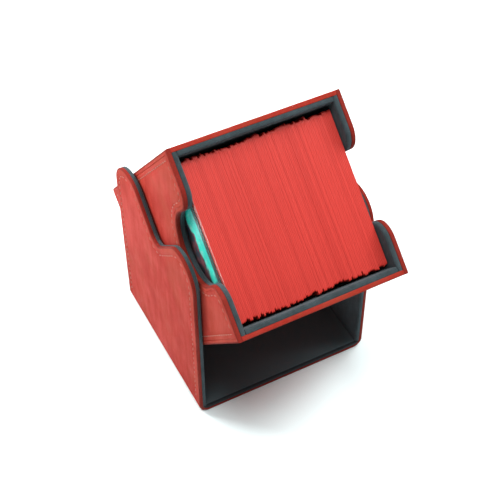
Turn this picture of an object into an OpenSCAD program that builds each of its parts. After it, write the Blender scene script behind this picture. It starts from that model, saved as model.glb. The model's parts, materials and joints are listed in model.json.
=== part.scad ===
// Card deck box: a tray full of sleeved cards, tipped forward inside its U-shaped cover.
// The cover stands on its base. The tray rests on its bottom front edge on that base.
// Frame: origin at the middle of the cover's underside, +X right, +Y back, +Z up.

/* [Cover] */
// Width of the cover over both side walls
cover_w = 84; // [80:0.5:92]
// Depth of the cover, from its open front to its open back
cover_d = 78.4; // [77:0.2:90]
// Height of the side walls at the top of their lobes
cover_h = 93.2; // [90:0.2:96]
// Thickness of a side wall
cover_wall = 3.2; // [3:0.1:3.6]
// Thickness of the base
cover_base = 3.8; // [3.6:0.1:5]
// Radius of the two long bottom edges
cover_edge_r = 4.5; // [4.2:0.1:6]
// Radius of the lobes' front corners
cover_front_r = 12.5; // [6:0.5:12.5]
// Radius of the lobes' back corners
cover_back_r = 15; // [6:0.5:15]

/* [Cover notch] */
// Depth of the finger notch between the two lobes
cover_notch_depth = 17.2; // [14:0.2:18]
// Radius at the bottom of that notch
cover_notch_r = 6; // [4:0.5:7]
// Radius of the lobes where they run into that notch
cover_shoulder_r = 12; // [8:0.5:12]
// Steepness of the notch's flanks
cover_notch_flank = 44; // [44:1:60]
// Distance from the middle of the wall back to the middle of the notch
cover_notch_shift = -1.4; // [-1.4:0.1:0.4]

/* [Tray] */
// Outside height of the tray, from its bottom to its rim
tray_h = 107; // [105:0.5:112]
// Outside depth of the tray, from its front panel to its back panel
tray_d = 78.4; // [78:0.2:84]
// Clearance on each side between the tray and the cover's side walls
tray_clearance = 0.6; // [0.4:0.1:1]
// Thickness of the tray's four walls
tray_wall = 4.2; // [4:0.1:4.4]
// Thickness of the tray's bottom
tray_bottom = 4.6; // [4.2:0.1:5]
// Radius of the tray's bottom edges
tray_edge_r = 1.5; // [1:0.1:1.8]
// How far the tray leans forward
tray_tilt = 40.4; // [38:0.1:44]
// Where the edge that the tray leans on stands, behind the middle of the base
tray_edge_y = -1.55; // [-3:0.05:1]
// Air left between that edge and the base
tray_edge_gap = 0.3; // [0.2:0.05:0.5]

/* [Tray notch] */
// Depth of the finger notch in each side of the tray
tray_notch_depth = 29; // [26:0.5:32]
// Radius of that notch
tray_notch_r = 15.3; // [12:0.1:16]
// Radius of the shoulders that lead into it
tray_shoulder_r = 8.5; // [6:0.5:9]

/* [Layers] */
// Thickness of the red suede skin
skin_t = 0.8; // [0.6:0.1:0.9]
// Thickness of the soft grey lining
lining_t = 0.8; // [0.6:0.1:0.9]
// Thickness of the cover's outer layer, where the skin's folded edge meets the lining
cover_seam = 1.5; // [1.4:0.1:1.6]
// Thickness of the tray's outer layer
tray_seam = 2; // [1.8:0.1:2.1]

/* [Stitching] */
// Distance from a panel's edge to its row of stitches
stitch_inset = 3.8; // [3:0.1:4.5]
// Distance from one stitch to the next
stitch_pitch = 3.2; // [3:0.1:5]
// Length of one stitch
stitch_length = 2.2; // [1.5:0.1:2.5]
// Width of the thread
stitch_width = 0.5; // [0.3:0.05:0.6]
// How far a stitch stands out of the skin
stitch_height = 0.2; // [0.1:0.05:0.25]

/* [Cards] */
// Number of sleeved cards
card_count = 100; // [60:1:100]
// Thickness that each sleeved card takes up in the tray
card_pitch = 0.67; // [0.6:0.005:0.67]
// Width of a card sleeve
sleeve_w = 66.4; // [66:0.1:67]
// Height of a card sleeve
sleeve_h = 96.5; // [94:0.5:98]
// Width of a card
card_w = 63; // [60:0.5:63.5]
// Height of a card
card_h = 88; // [85:0.5:88]
// Thickness of a card
card_t = 0.34; // [0.3:0.01:0.36]
// How far the cards' top edges lie below the mouths of their sleeves
card_drop = 4.3; // [3:0.1:5]
// How unevenly the sleeves stand from front to back
sleeve_stagger = 2.7; // [0:0.1:2.8]

/* [Hidden] */
$fn = 96;

// Room left for glue round each board
glue = 0.03;
// Room left round the deck inside the tray
deck_gap = 0.3;
// How far a cutting shape runs past what it cuts
past = 1;
// Air between one sleeve and the next
sleeve_gap = 0.05;
// Room round a card inside its sleeve, through its thickness and at its edges
pocket_room = 0.06;
pocket_margin = 0.3;

cover_notch_y = cover_d / 2 + cover_notch_shift;
tray_w = cover_w - 2 * (cover_wall + tray_clearance);
tray_inner_w = tray_w - 2 * tray_wall;
tray_edge_z = cover_base + tray_edge_gap + tray_edge_r;
sleeve_t = card_pitch - sleeve_gap;
sleeve_pocket_t = card_t + pocket_room;
suede = "indianred";
microfibre = "darkslategray";
greyboard = "gray";
thread = "rosybrown";

// ---- Outlines of the side walls: x runs back, y runs up ----

// Half the width of a notch at the top of its wall
function notch_half(depth, bottom_r, shoulder_r, flank) =
    (bottom_r + shoulder_r) * sin(flank)
    + (depth - (bottom_r + shoulder_r) * (1 - cos(flank))) * cos(flank) / sin(flank);

// A finger notch: a round bottom, straight flanks and round shoulders at the height top
module notch_shape(middle, top, depth, bottom_r, shoulder_r, flank, inset) {
    half = notch_half(depth, bottom_r, shoulder_r, flank);
    low_r = bottom_r + inset;
    high_r = shoulder_r - inset;
    low = top - depth;
    low_x = low_r * sin(flank);
    low_y = low + low_r * (1 - cos(flank));
    high_x = half - high_r * sin(flank);
    high_y = top - high_r * (1 - cos(flank));
    difference() {
        translate([middle, 0])
            polygon([
                [-low_x, low_y], [low_x, low_y], [high_x, high_y], [half, top],
                [half, top + past], [-half, top + past], [-half, top], [-high_x, high_y]
            ]);
        for (side = [-1, 1])
            translate([middle + side * half, top - high_r])
                circle(high_r);
    }
    translate([middle, low + low_r])
        circle(low_r);
}

// What a rounded corner takes off a square one, for a corner at the origin
module corner_cut(r) {
    difference() {
        translate([-past, -past])
            square(r + past);
        translate([r, r])
            circle(r);
    }
}

// The cover's side wall above its rounded bottom edge
module cover_outline(inset) {
    difference() {
        translate([inset, cover_edge_r])
            square([cover_d - 2 * inset, cover_h - cover_edge_r - inset]);
        translate([inset, cover_h - inset])
            mirror([0, 1])
                corner_cut(cover_front_r - inset);
        translate([cover_d - inset, cover_h - inset])
            rotate(180)
                corner_cut(cover_back_r - inset);
        notch_shape(cover_notch_y, cover_h - inset, cover_notch_depth,
            cover_notch_r, cover_shoulder_r, cover_notch_flank, inset);
    }
}

// The tray's side wall, from bottom up and from front_inset in
module tray_outline(inset, front_inset, bottom, edge_r) {
    difference() {
        translate([front_inset, bottom])
            square([tray_d - 2 * front_inset, tray_h - inset - bottom]);
        if (edge_r > 0) {
            translate([front_inset, bottom])
                corner_cut(edge_r);
            translate([tray_d - front_inset, bottom])
                mirror([1, 0])
                    corner_cut(edge_r);
        }
        notch_shape(tray_d / 2, tray_h - inset, tray_notch_depth,
            tray_notch_r, tray_shoulder_r, 90, inset);
    }
}

// Stands an outline up as a plate of the left wall, from the depth start to the depth end
module plate(start, end) {
    translate([start, 0, 0])
        rotate([90, 0, 90])
            linear_extrude(end - start)
                children();
}

// ---- Places ----

// From the left wall's own frame, with its outer face at x = 0, to the cover's left side
module cover_side() {
    translate([-cover_w / 2, -cover_d / 2, 0])
        children();
}

// From the tray's own frame, upright and with its front at y = 0, to where it leans
module tray_place() {
    translate([0, tray_edge_y, tray_edge_z])
        rotate([tray_tilt, 0, 0])
            translate([0, -tray_edge_r, -tray_edge_r])
                children();
}

module tray_side() {
    translate([-tray_w / 2, 0, 0])
        children();
}

// ---- Cover ----

// The skin is a shallow dish: it covers the board's outer face and folds over its edges
module cover_side_skin() {
    difference() {
        plate(0, cover_seam)
            cover_outline(0);
        plate(skin_t, cover_seam + past)
            cover_outline_pocket(skin_t);
    }
}

// The pocket stops at the rounded bottom edge, where the next panel begins
module cover_outline_pocket(inset) {
    difference() {
        cover_outline(inset);
        translate([0, cover_edge_r - past])
            square([cover_d, past + inset]);
    }
}

module cover_side_board() {
    plate(skin_t, cover_seam)
        cover_outline_pocket(skin_t + glue);
}

module cover_side_lining() {
    difference() {
        plate(cover_seam, cover_wall)
            cover_outline(0);
        plate(cover_seam - past, cover_wall - lining_t)
            cover_outline_pocket(lining_t);
    }
}

module cover_side_liner_board() {
    plate(cover_seam, cover_wall - lining_t)
        cover_outline_pocket(lining_t + glue);
}

// Cross-section of the cover below its straight walls, taken in from the outside by inset
module base_section(inset) {
    half = cover_w / 2 - inset;
    difference() {
        translate([-half, inset])
            square([2 * half, cover_edge_r - inset]);
        for (side = [0, 1])
            mirror([side, 0])
                translate([-half, inset])
                    corner_cut(cover_edge_r - inset);
    }
}

// Runs a cross-section from the front of the cover to its back
module along_cover() {
    translate([0, cover_d / 2, 0])
        rotate([90, 0, 0])
            linear_extrude(cover_d)
                children();
}

module base_block(inset, bottom, top) {
    half = cover_w / 2 - cover_edge_r;
    translate([-half + inset, -cover_d / 2 + inset, bottom])
        cube([2 * (half - inset), cover_d - 2 * inset, top - bottom]);
}

module cover_base_skin() {
    color(suede)
        difference() {
            along_cover()
                difference() {
                    base_section(0);
                    base_section(cover_seam);
                }
            base_block(skin_t, skin_t, cover_seam + past);
        }
}

module cover_base_board() {
    color(greyboard)
        base_block(skin_t + glue, skin_t, cover_seam);
}

module cover_base_lining() {
    color(microfibre)
        difference() {
            along_cover()
                difference() {
                    base_section(cover_seam);
                    translate([-cover_w / 2 + cover_wall, cover_base])
                        square([cover_w - 2 * cover_wall, cover_edge_r]);
                }
            base_block(lining_t, cover_seam - past, cover_base - lining_t);
        }
}

module cover_base_liner_board() {
    color(greyboard)
        base_block(lining_t + glue, cover_seam, cover_base - lining_t);
}

module cover_left_skin() {
    color(suede)
        cover_side()
            cover_side_skin();
}

module cover_left_board() {
    color(greyboard)
        cover_side()
            cover_side_board();
}

module cover_left_lining() {
    color(microfibre)
        cover_side()
            cover_side_lining();
}

module cover_left_liner_board() {
    color(greyboard)
        cover_side()
            cover_side_liner_board();
}

module cover_right_skin() {
    mirror([1, 0, 0])
        cover_left_skin();
}

module cover_right_board() {
    mirror([1, 0, 0])
        cover_left_board();
}

module cover_right_lining() {
    mirror([1, 0, 0])
        cover_left_lining();
}

module cover_right_liner_board() {
    mirror([1, 0, 0])
        cover_left_liner_board();
}

// ---- Tray ----

module tray_side_skin() {
    difference() {
        plate(0, tray_seam)
            tray_outline(0, 0, 0, tray_edge_r);
        plate(skin_t, tray_seam + past)
            tray_outline(skin_t, skin_t, skin_t, 0);
    }
}

module tray_side_board() {
    plate(skin_t, tray_seam)
        tray_outline(skin_t + glue, skin_t + glue, skin_t + glue, 0);
}

// The linings stand on the bottom's lining, inside the outer layers
module tray_side_lining() {
    difference() {
        plate(tray_seam, tray_wall)
            tray_outline(0, tray_seam, tray_bottom, 0);
        plate(tray_seam - past, tray_wall - lining_t)
            tray_outline(lining_t, tray_seam + lining_t, tray_bottom + lining_t, 0);
    }
}

module tray_side_liner_board() {
    plate(tray_seam, tray_wall - lining_t)
        tray_outline(lining_t + glue, tray_seam + lining_t + glue, tray_bottom + lining_t + glue, 0);
}

// A box between the two side panels, centred across the tray
module tray_block(half_w, from_y, to_y, from_z, to_z) {
    translate([-half_w, from_y, from_z])
        cube([2 * half_w, to_y - from_y, to_z - from_z]);
}

// The front panel's skin, with the rounded edge that the tray leans on
module tray_end_skin() {
    half = tray_w / 2 - tray_seam;
    difference() {
        tray_block(half, 0, tray_seam, 0, tray_h);
        rotate([90, 0, 90])
            translate([0, 0, -half - past])
                linear_extrude(2 * (half + past))
                    corner_cut(tray_edge_r);
        tray_block(half - skin_t, skin_t, tray_seam + past, skin_t, tray_h - skin_t);
    }
}

module tray_end_board() {
    rim = skin_t + glue;
    tray_block(tray_w / 2 - tray_seam - rim, skin_t, tray_seam, rim, tray_h - rim);
}

module tray_end_lining() {
    half = tray_inner_w / 2;
    rim = lining_t;
    difference() {
        tray_block(half, tray_seam, tray_wall, tray_bottom, tray_h);
        tray_block(half - rim, tray_seam - past, tray_wall - lining_t, tray_bottom + rim, tray_h - rim);
    }
}

module tray_end_liner_board() {
    rim = lining_t + glue;
    tray_block(tray_inner_w / 2 - rim, tray_seam, tray_wall - lining_t, tray_bottom + rim, tray_h - rim);
}

// Turns the front panel round to the back of the tray
module at_back() {
    translate([0, tray_d, 0])
        mirror([0, 1, 0])
            children();
}

module tray_bottom_skin() {
    half = tray_w / 2 - tray_seam;
    color(suede)
        tray_place()
            difference() {
                tray_block(half, tray_seam, tray_d - tray_seam, 0, tray_seam);
                tray_block(half - skin_t, tray_seam + skin_t, tray_d - tray_seam - skin_t,
                    skin_t, tray_seam + past);
            }
}

module tray_bottom_board() {
    rim = skin_t + glue;
    color(greyboard)
        tray_place()
            tray_block(tray_w / 2 - tray_seam - rim, tray_seam + rim, tray_d - tray_seam - rim,
                skin_t, tray_seam);
}

module tray_bottom_lining() {
    half = tray_w / 2 - tray_seam;
    color(microfibre)
        tray_place()
            difference() {
                tray_block(half, tray_seam, tray_d - tray_seam, tray_seam, tray_bottom);
                tray_block(half - lining_t, tray_seam + lining_t, tray_d - tray_seam - lining_t,
                    tray_seam - past, tray_bottom - lining_t);
            }
}

module tray_bottom_liner_board() {
    rim = lining_t + glue;
    color(greyboard)
        tray_place()
            tray_block(tray_w / 2 - tray_seam - rim, tray_seam + rim, tray_d - tray_seam - rim,
                tray_seam, tray_bottom - lining_t);
}

module tray_left_skin() {
    color(suede)
        tray_place()
            tray_side()
                tray_side_skin();
}

module tray_left_board() {
    color(greyboard)
        tray_place()
            tray_side()
                tray_side_board();
}

module tray_left_lining() {
    color(microfibre)
        tray_place()
            tray_side()
                tray_side_lining();
}

module tray_left_liner_board() {
    color(greyboard)
        tray_place()
            tray_side()
                tray_side_liner_board();
}

module tray_right_skin() {
    mirror([1, 0, 0])
        tray_left_skin();
}

module tray_right_board() {
    mirror([1, 0, 0])
        tray_left_board();
}

module tray_right_lining() {
    mirror([1, 0, 0])
        tray_left_lining();
}

module tray_right_liner_board() {
    mirror([1, 0, 0])
        tray_left_liner_board();
}

module tray_front_skin() {
    color(suede)
        tray_place()
            tray_end_skin();
}

module tray_front_board() {
    color(greyboard)
        tray_place()
            tray_end_board();
}

module tray_front_lining() {
    color(microfibre)
        tray_place()
            tray_end_lining();
}

module tray_front_liner_board() {
    color(greyboard)
        tray_place()
            tray_end_liner_board();
}

module tray_back_skin() {
    color(suede)
        tray_place()
            at_back()
                tray_end_skin();
}

module tray_back_board() {
    color(greyboard)
        tray_place()
            at_back()
                tray_end_board();
}

module tray_back_lining() {
    color(microfibre)
        tray_place()
            at_back()
                tray_end_lining();
}

module tray_back_liner_board() {
    color(greyboard)
        tray_place()
            at_back()
                tray_end_liner_board();
}

// ---- Stitching: flat stitches that lie on a side panel's outer face ----

module stitch() {
    translate([-stitch_length / 2, -stitch_width / 2, 0])
        cube([stitch_length, stitch_width, stitch_height]);
}

// A straight row from one point to another, with an even pitch
module stitch_line(from, to) {
    run = to - from;
    count = floor(norm(run) / stitch_pitch);
    for (i = [0 : count - 1])
        translate(from + run * (i + 0.5) / count)
            rotate(atan2(run.y, run.x))
                stitch();
}

// A row round an arc, from one angle to another
module stitch_arc(middle, r, from, to) {
    count = max(1, floor(abs(to - from) * PI / 180 * r / stitch_pitch));
    for (i = [0 : count - 1])
        translate(middle)
            rotate(from + (to - from) * (i + 0.5) / count)
                translate([r, 0])
                    rotate(90)
                        stitch();
}

// One side of a notch: shoulder, flank and half of the round bottom
module stitch_notch_side(side, middle, top, depth, bottom_r, shoulder_r, flank) {
    half = notch_half(depth, bottom_r, shoulder_r, flank);
    low_r = bottom_r + stitch_inset;
    high_r = shoulder_r - stitch_inset;
    row_top = top - stitch_inset;
    low_y = row_top - depth + low_r;
    translate([middle, 0])
        mirror([side, 0]) {
            stitch_arc([half, row_top - high_r], high_r, 90, 90 + flank);
            stitch_line(
                [half - high_r * sin(flank), row_top - high_r * (1 - cos(flank))],
                [low_r * sin(flank), low_y - low_r * cos(flank)]
            );
            stitch_arc([0, low_y], low_r, -90, -90 + flank);
        }
}

// Lays flat stitches on the left wall's outer face
module on_face() {
    rotate([90, 0, 90])
        mirror([0, 0, 1])
            children();
}

module cover_stitch_rows() {
    front = stitch_inset;
    back = cover_d - stitch_inset;
    bottom = cover_edge_r + stitch_inset;
    row_top = cover_h - stitch_inset;
    front_r = cover_front_r - stitch_inset;
    back_r = cover_back_r - stitch_inset;
    stitch_line([front, bottom], [front, row_top - front_r]);
    stitch_arc([front + front_r, row_top - front_r], front_r, 180, 90);
    for (side = [0, 1])
        stitch_notch_side(side, cover_notch_y, cover_h, cover_notch_depth,
            cover_notch_r, cover_shoulder_r, cover_notch_flank);
    stitch_arc([back - back_r, row_top - back_r], back_r, 90, 0);
    stitch_line([back, row_top - back_r], [back, bottom]);
}

module tray_stitch_rows() {
    front = stitch_inset;
    back = tray_d - stitch_inset;
    row_top = tray_h - stitch_inset;
    half = notch_half(tray_notch_depth, tray_notch_r, tray_shoulder_r, 90);
    stitch_line([front, stitch_inset], [front, row_top]);
    stitch_line([front + stitch_pitch / 2, row_top], [tray_d / 2 - half, row_top]);
    for (side = [0, 1])
        stitch_notch_side(side, tray_d / 2, tray_h, tray_notch_depth,
            tray_notch_r, tray_shoulder_r, 90);
    stitch_line([tray_d / 2 + half, row_top], [back - stitch_pitch / 2, row_top]);
    stitch_line([back, row_top], [back, stitch_inset]);
}

module cover_left_stitching() {
    color(thread)
        cover_side()
            on_face()
                cover_stitch_rows();
}

module cover_right_stitching() {
    mirror([1, 0, 0])
        cover_left_stitching();
}

module tray_left_stitching() {
    color(thread)
        tray_place()
            tray_side()
                on_face()
                    tray_stitch_rows();
}

module tray_right_stitching() {
    mirror([1, 0, 0])
        tray_left_stitching();
}

// ---- Deck: cards in sleeves, stacked from the left wall to the right one ----

// The sleeves stand in small packs. Each pack stands at its own depth and leans a little, and
// sleeves that cling together sit a little off their pack, the same at every build.
pack_size = 5.4;
lot_size = 1.4;
stagger_seed = 7;
chance = rands(0, 1, 2 * card_count, stagger_seed);
function pack_count(i) = i / pack_size + 0.4 * sin(29 * i);
function pack(i) = floor(pack_count(i));
function lot(i) = card_count + floor(i / lot_size);
function stagger(i) = sleeve_stagger
    * (0.35 * chance[pack(i) + 1] + 0.15 * (pack_count(i) - pack(i)) + 0.5 * chance[lot(i)]);

// The place of sleeve i: its lower left front corner in the tray's frame
function sleeve_at(i) = [
    (i - card_count / 2) * card_pitch,
    tray_wall + deck_gap + stagger(i),
    tray_bottom + deck_gap
];

module card_sleeves() {
    wall = (sleeve_t - sleeve_pocket_t) / 2;
    seam = (sleeve_w - card_w) / 2 - pocket_margin;
    color("crimson")
        tray_place()
            for (i = [0 : card_count - 1])
                translate(sleeve_at(i))
                    difference() {
                        cube([sleeve_t, sleeve_w, sleeve_h]);
                        translate([wall, seam, seam])
                            cube([sleeve_pocket_t, sleeve_w - 2 * seam, sleeve_h]);
                    }
}

module cards() {
    color("teal")
        tray_place()
            for (i = [0 : card_count - 1])
                translate(sleeve_at(i)
                    + [(sleeve_t - card_t) / 2, (sleeve_w - card_w) / 2, sleeve_h - card_h - card_drop])
                    cube([card_t, card_w, card_h]);
}

cover_base_skin();
cover_base_board();
cover_base_lining();
cover_base_liner_board();
cover_left_skin();
cover_left_board();
cover_left_lining();
cover_left_liner_board();
cover_right_skin();
cover_right_board();
cover_right_lining();
cover_right_liner_board();
cover_left_stitching();
cover_right_stitching();
tray_bottom_skin();
tray_bottom_board();
tray_bottom_lining();
tray_bottom_liner_board();
tray_left_skin();
tray_left_board();
tray_left_lining();
tray_left_liner_board();
tray_right_skin();
tray_right_board();
tray_right_lining();
tray_right_liner_board();
tray_front_skin();
tray_front_board();
tray_front_lining();
tray_front_liner_board();
tray_back_skin();
tray_back_board();
tray_back_lining();
tray_back_liner_board();
tray_left_stitching();
tray_right_stitching();
card_sleeves();
cards();
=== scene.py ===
"""Card deck box: a suede cover and tray, lined with microfibre, with a deck of sleeved cards."""

import json  # noqa: E402
import logging  # noqa: E402
import math  # noqa: E402
import random  # noqa: E402
from collections.abc import Callable, Iterable  # noqa: E402
from dataclasses import dataclass, field  # noqa: E402
from enum import Enum  # noqa: E402

import bmesh  # noqa: E402
import bpy  # noqa: E402
import numpy as np  # noqa: E402
from mathutils import Euler, Matrix, Vector  # noqa: E402


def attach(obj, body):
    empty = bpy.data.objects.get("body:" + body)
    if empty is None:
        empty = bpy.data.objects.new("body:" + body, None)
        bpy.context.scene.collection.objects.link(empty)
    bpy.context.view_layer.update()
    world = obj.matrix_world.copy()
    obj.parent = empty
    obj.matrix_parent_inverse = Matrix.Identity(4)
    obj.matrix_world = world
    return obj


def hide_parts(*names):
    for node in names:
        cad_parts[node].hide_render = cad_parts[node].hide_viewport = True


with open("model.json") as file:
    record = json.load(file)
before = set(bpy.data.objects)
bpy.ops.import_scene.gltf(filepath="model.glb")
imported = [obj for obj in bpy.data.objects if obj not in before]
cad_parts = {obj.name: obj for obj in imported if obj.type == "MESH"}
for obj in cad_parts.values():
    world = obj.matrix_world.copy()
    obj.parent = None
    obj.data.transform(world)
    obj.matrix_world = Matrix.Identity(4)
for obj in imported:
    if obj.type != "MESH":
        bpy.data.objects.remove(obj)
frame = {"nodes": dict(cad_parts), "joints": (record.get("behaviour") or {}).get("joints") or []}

LOG = logging.getLogger("deck_box")
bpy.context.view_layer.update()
MM = 0.001
# How far the tray leans forward
LEAN = math.radians(40.4)
# How near its plane a face's middle is, and how straight it looks out, to count as part of a flat sheet
LEVEL = 0.006 * MM
FLAT = 0.999
# How far a face's middle may lie from the true curve that it follows
SAG = 0.03 * MM
# Lengths that differ by less than this are the same
TOUCH = 0.001 * MM
# Points nearer than this become one, and faces that meet at a smaller angle than this become one
WELD = 0.005 * MM
LEVEL_ANGLE = math.radians(0.4)
# Edges sharper than this stay sharp
SHARP = math.radians(35)
# How far short of its step a point may lie, in millimetres
INSET_SLACK = 0.01

Colour = tuple[float, float, float]
FaceTest = Callable[[Vector, Vector], bool]
EdgeTest = Callable[[Vector], bool]
Edges = list[bmesh.types.BMEdge]
Socket = bpy.types.NodeSocket


class Body(Enum):
    """The moving bodies of the box."""

    COVER = "cover"
    TRAY = "tray"
    DECK = "deck"


class Side(Enum):
    """The two side walls, and the direction that each one's outer face looks."""

    LEFT = -1
    RIGHT = 1

    @property
    def word(self) -> str:
        """The side's name, as the CAD nodes spell it."""
        return self.name.lower()


class Layer(Enum):
    """The two layers of a panel that show: its word in node names, its cloth and its slot."""

    SKIN = ("skin", "suede", "suede")
    LINING = ("lining", "microfibre", "lining")

    def __init__(self, word: str, cloth: str, slot: str) -> None:
        """Keeps the layer's three words."""
        self.word, self.cloth, self.slot = word, cloth, slot


# ---- Wiring materials ----


class Graph:
    """A node tree being wired up."""

    def __init__(self, tree: bpy.types.NodeTree) -> None:
        """Starts from an empty tree.

        Args:
            tree: The tree of a material or of a node group.
        """
        self.tree = tree
        tree.nodes.clear()

    def add(self, kind: str, inputs: dict | None = None, **settings: object) -> bpy.types.Node:
        """Adds a node.

        Args:
            kind: The node's type, without its ShaderNode prefix.
            inputs: What each input takes, by name or number: another socket, or a value.
            settings: The node's own settings.

        Returns:
            The new node.
        """
        prefix = "" if kind.startswith("Node") else "ShaderNode"
        node = self.tree.nodes.new(prefix + kind)
        for key, value in settings.items():
            setattr(node, key, value)
        for key, value in (inputs or {}).items():
            if isinstance(value, Socket):
                self.tree.links.new(value, node.inputs[key])
            else:
                node.inputs[key].default_value = value
        return node

    def math(self, operation: str, *values: object, clamp: bool = False) -> Socket:
        """Adds a Math node and returns its result.

        Args:
            operation: The name of the operation.
            values: Its operands, sockets or numbers.
            clamp: Whether the result is kept from 0 to 1.

        Returns:
            The result's socket.
        """
        node = self.add("Math", dict(enumerate(values)), operation=operation, use_clamp=clamp)
        return node.outputs[0]

    def weigh(self, *parts: tuple[object, float]) -> Socket:
        """Adds up values, each times its own weight.

        Args:
            parts: Each value or its socket, with its weight.

        Returns:
            The sum's socket.
        """
        total = self.math("MULTIPLY", *parts[-1])
        for value, weight in reversed(parts[:-1]):
            total = self.math("MULTIPLY_ADD", value, weight, total)
        return total

    def mix(self, factor: object, first: object, second: object) -> Socket:
        """Mixes two colours.

        Args:
            factor: How much of the second colour shows.
            first: A colour or its socket.
            second: A colour or its socket.

        Returns:
            The mixed colour's socket.
        """
        values = {0: factor, 6: rgba(first), 7: rgba(second)}
        return self.add("Mix", values, data_type="RGBA").outputs[2]

    def axes(self, vector: Socket) -> bpy.types.bpy_prop_collection:
        """Splits a vector into its X, Y and Z."""
        return self.add("SeparateXYZ", {"Vector": vector}).outputs

    def ramp(
        self, value: object, low: float, high: float, bottom: float = 0.0, top: float = 1.0
    ) -> Socket:
        """Maps a value smoothly from one range to another.

        Args:
            value: The value or its socket.
            low: Where the range starts.
            high: Where it ends.
            bottom: The result at the start.
            top: The result at the end.

        Returns:
            The result's socket.
        """
        values = {"Value": value, "From Min": low, "From Max": high, "To Min": bottom, "To Max": top}
        return self.add("MapRange", values, interpolation_type="SMOOTHSTEP").outputs[0]

    def noise(self, vector: object, scale: object, detail: float, roughness: float) -> Socket:
        """Adds a noise texture and returns its value.

        Args:
            vector: The coordinates.
            scale: Cells in a metre.
            detail: How many finer layers it has.
            roughness: How strong the finer layers are.

        Returns:
            The value's socket, about 0 to 1.
        """
        values = {"Vector": vector, "Scale": scale, "Detail": detail, "Roughness": roughness}
        return self.add("TexNoise", values).outputs[0]


def rgba(colour: object) -> object:
    """A colour with its alpha; a socket is passed on as it is."""
    return (*colour, 1.0) if isinstance(colour, tuple) and len(colour) == 3 else colour


def new_group(
    name: str, inputs: dict[str, tuple], outputs: dict[str, str]
) -> tuple[bpy.types.NodeTree, Graph]:
    """Makes an empty shader node group.

    Args:
        name: The group's name.
        inputs: Socket type and default value of each input.
        outputs: Socket type of each output.

    Returns:
        The group and the graph that wires it.
    """
    tree = bpy.data.node_groups.new(name, "ShaderNodeTree")
    for label, (kind, default) in inputs.items():
        socket = tree.interface.new_socket(label, in_out="INPUT", socket_type=kind)
        if default is not None:
            socket.default_value = default
    for label, kind in outputs.items():
        tree.interface.new_socket(label, in_out="OUTPUT", socket_type=kind)
    return tree, Graph(tree)


class Effects:
    """The node groups that several finishes share."""

    def __init__(self) -> None:
        """Builds each group once."""
        self.nap = self._nap()
        self.edge = self._edge()
        self.grain = self._grain()

    @staticmethod
    def _nap() -> bpy.types.NodeTree:
        """A brushed pile: wide cloudy patches, streaks along one direction and single fibres.

        Returns:
            The group.
        """
        number = "NodeSocketFloat"
        tree, graph = new_group(
            "brushed_nap",
            {
                "Vector": ("NodeSocketVector", None),
                "Patch Scale": (number, 60.0),
                "Streak Scale": (number, 260.0),
                "Fibre Scale": (number, 2600.0),
            },
            {"Patches": number, "Streaks": number, "Fibres": number},
        )
        given = graph.add("NodeGroupInput").outputs
        streaked = graph.add("Mapping", {"Vector": given["Vector"], "Scale": (1.0, 1.0, 0.22)}).outputs[0]
        patches = graph.noise(given["Vector"], given["Patch Scale"], 3.0, 0.55)
        streaks = graph.noise(streaked, given["Streak Scale"], 3.0, 0.6)
        fibres = graph.noise(streaked, given["Fibre Scale"], 2.0, 0.6)
        graph.add(
            "NodeGroupOutput",
            {
                "Patches": graph.ramp(patches, 0.3, 0.7),
                "Streaks": graph.ramp(streaks, 0.3, 0.7),
                "Fibres": graph.ramp(fibres, 0.3, 0.7),
            },
        )
        return tree

    @staticmethod
    def _edge() -> bpy.types.NodeTree:
        """Wear along a panel's edge, broken up, and painted shade on its turned edge, both from the distance
        that the panel carries.

        Returns:
            The group.
        """
        number = "NodeSocketFloat"
        tree, graph = new_group(
            "edge_wear",
            {
                "Vector": ("NodeSocketVector", None),
                "Inset": (number, 6.0),
                "Reach": (number, 2.0),
                "Breakup": (number, 400.0),
            },
            {"Wear": number, "Fold": number},
        )
        given = graph.add("NodeGroupInput").outputs
        spots = graph.noise(given["Vector"], given["Breakup"], 4.0, 0.65)
        near = graph.math("SUBTRACT", 1.0, graph.math("DIVIDE", given["Inset"], given["Reach"]), clamp=True)
        wear = graph.math("MULTIPLY", near, graph.ramp(spots, 0.42, 0.62))
        # Painted shade on the turned edge, strongest at the panel's outline
        fold = graph.ramp(given["Inset"], 0.05, 0.5, 1.0, 0.0)
        graph.add("NodeGroupOutput", {"Wear": wear, "Fold": fold})
        return tree

    @staticmethod
    def _grain() -> bpy.types.NodeTree:
        """Fine even grain with sparse specks, for board, paper, film and thread.

        Returns:
            The group.
        """
        number = "NodeSocketFloat"
        tree, graph = new_group(
            "fine_grain",
            {"Vector": ("NodeSocketVector", None), "Scale": (number, 3000.0)},
            {"Grain": number, "Specks": number},
        )
        given = graph.add("NodeGroupInput").outputs
        grain = graph.noise(given["Vector"], given["Scale"], 3.0, 0.6)
        coarse = graph.math("MULTIPLY", given["Scale"], 0.31)
        specks = graph.noise(given["Vector"], coarse, 1.0, 0.5)
        graph.add("NodeGroupOutput", {"Grain": grain, "Specks": graph.ramp(specks, 0.62, 0.72)})
        return tree


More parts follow.
